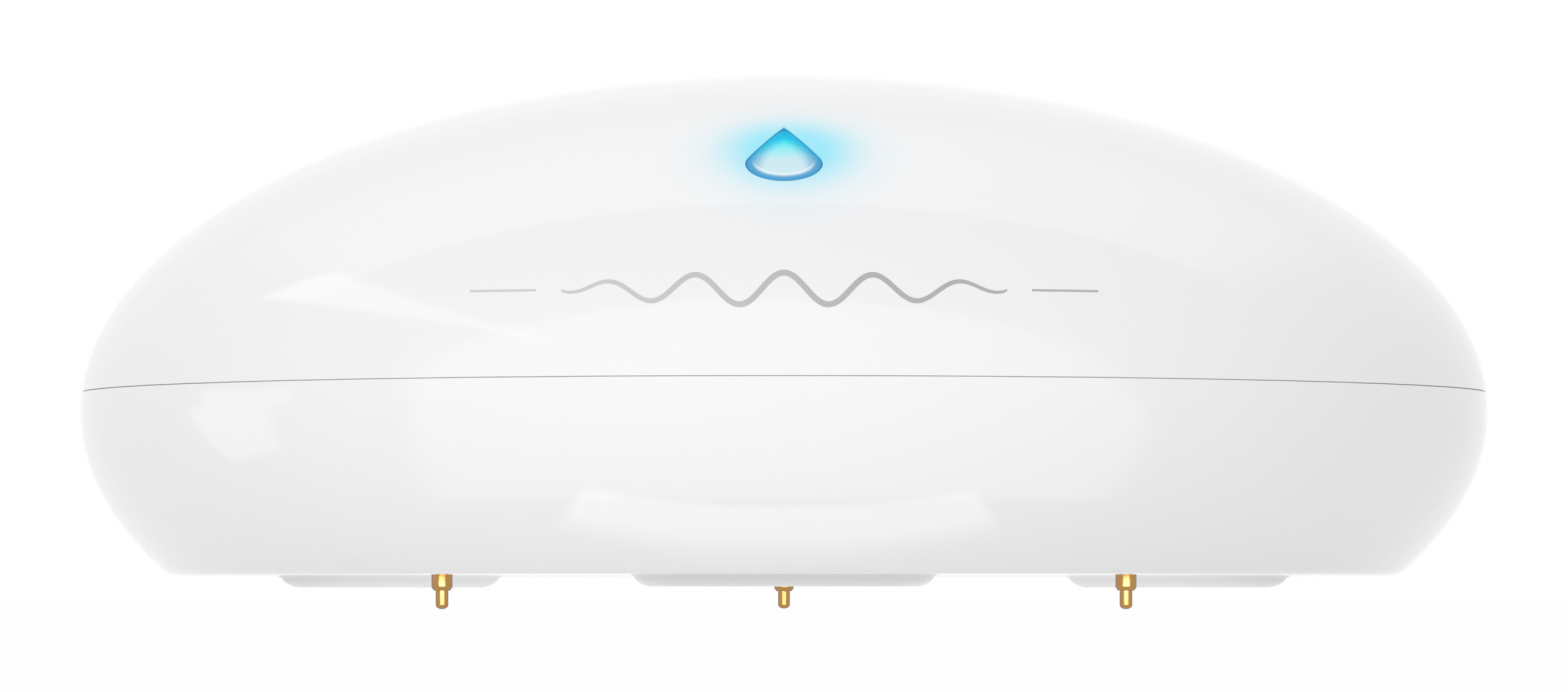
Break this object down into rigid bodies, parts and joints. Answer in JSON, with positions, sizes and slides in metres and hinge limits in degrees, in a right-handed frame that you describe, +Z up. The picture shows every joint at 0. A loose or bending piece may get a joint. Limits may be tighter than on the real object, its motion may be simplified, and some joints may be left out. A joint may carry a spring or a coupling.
{
  "type": "water leak sensor",
  "caption": "Round domed water leak sensor: glossy screw-top case with a lit drop-shaped indicator, standing on low feet and sprung gold probes that sense water on the floor.",
  "frame": {"origin": "on the ground under the probe tips, on the round case's axis", "axes": "+Z up along the case's axis; the drop-shaped indicator faces -Y, +X to its right seen from the front"},
  "size_m": [0.072, 0.072, 0.0273],
  "materials": {
    "case_white": "smooth glossy white moulding",
    "foot_white": "satin white pad",
    "probe_gold": "gold-plated, bright",
    "spring_steel": "drawn wire",
    "seal_rubber": "matt black rubber",
    "board_green": "green solder mask",
    "screw_steel": "zinc-plated",
    "cradle_grey": "fine spark-eroded light grey",
    "battery_sleeve": "plain printed sleeve over a can, with no words",
    "contact_nickel": "nickel-plated sheet",
    "led_body": "white body with a clear window",
    "shield_tin": "tin-plated sheet",
    "chip_black": "fine matt black moulding",
    "button_body": "dark grey moulding",
    "capacitor_can": "drawn can",
    "bead_brown": "dipped resin bead",
    "aerial_copper": "enamelled copper wire",
    "lens_blue": "clear blue lens, lit from behind",
    "guide_clear": "clear acrylic"
  },
  "bodies": {
    "base": {"base_shell": "case_white", "front_foot": "foot_white", "left_foot": "foot_white", "right_foot": "foot_white", "rear_probe_barrel": "probe_gold", "left_probe_barrel": "probe_gold", "right_probe_barrel": "probe_gold", "rear_probe_spring": "spring_steel", "left_probe_spring": "spring_steel", "right_probe_spring": "spring_steel", "probe_seals": "seal_rubber", "circuit_board": "board_green", "board_screws": "screw_steel", "battery_cradle": "cradle_grey", "battery": "battery_sleeve", "positive_contact": "contact_nickel", "negative_contact": "contact_nickel", "negative_spring": "spring_steel", "status_led": "led_body", "radio_shield": "shield_tin", "controller_chip": "chip_black", "crystal": "shield_tin", "button_housing": "button_body", "buzzer": "chip_black", "capacitor": "capacitor_can", "temperature_sensor": "bead_brown", "aerial": "aerial_copper"},
    "rear_probe": {"rear_probe_plunger": "probe_gold"},
    "left_probe": {"left_probe_plunger": "probe_gold"},
    "right_probe": {"right_probe_plunger": "probe_gold"},
    "service_button": {"button_plunger": "chip_black"},
    "seal_ring": {"cover_seal": "seal_rubber"},
    "cover": {"top_cover": "case_white", "drop_lens": "lens_blue", "light_guide": "guide_clear"}
  },
  "joints": [
    {"name": "cover_rise", "type": "slide", "parent": "base", "child": "seal_ring", "axis": [0, 0, 1], "range_m": [0, 0.0201]},
    {"name": "cover_twist", "type": "hinge", "parent": "seal_ring", "child": "cover", "pos_m": [0, 0, 0.011], "axis": [0, 0, 1], "range_deg": [0, 240]},
    {"name": "rear_probe_press", "type": "slide", "parent": "base", "child": "rear_probe", "axis": [0, 0, 1], "range_m": [0, 0.0009], "stiffness_N_per_m": 300, "springref_m": -0.0007, "deforming": ["rear_probe_spring"]},
    {"name": "left_probe_press", "type": "slide", "parent": "base", "child": "left_probe", "axis": [0, 0, 1], "range_m": [0, 0.0009], "stiffness_N_per_m": 300, "springref_m": -0.0007, "deforming": ["left_probe_spring"]},
    {"name": "right_probe_press", "type": "slide", "parent": "base", "child": "right_probe", "axis": [0, 0, 1], "range_m": [0, 0.0009], "stiffness_N_per_m": 300, "springref_m": -0.0007, "deforming": ["right_probe_spring"]},
    {"name": "button_press", "type": "slide", "parent": "base", "child": "service_button", "axis": [0, 0, -1], "range_m": [0, 0.0003], "stiffness_N_per_m": 600}
  ],
  "couplings": [
    {"joint": "cover_rise", "follows": "cover_twist", "m_per_rad": 0.0047747}
  ]
}
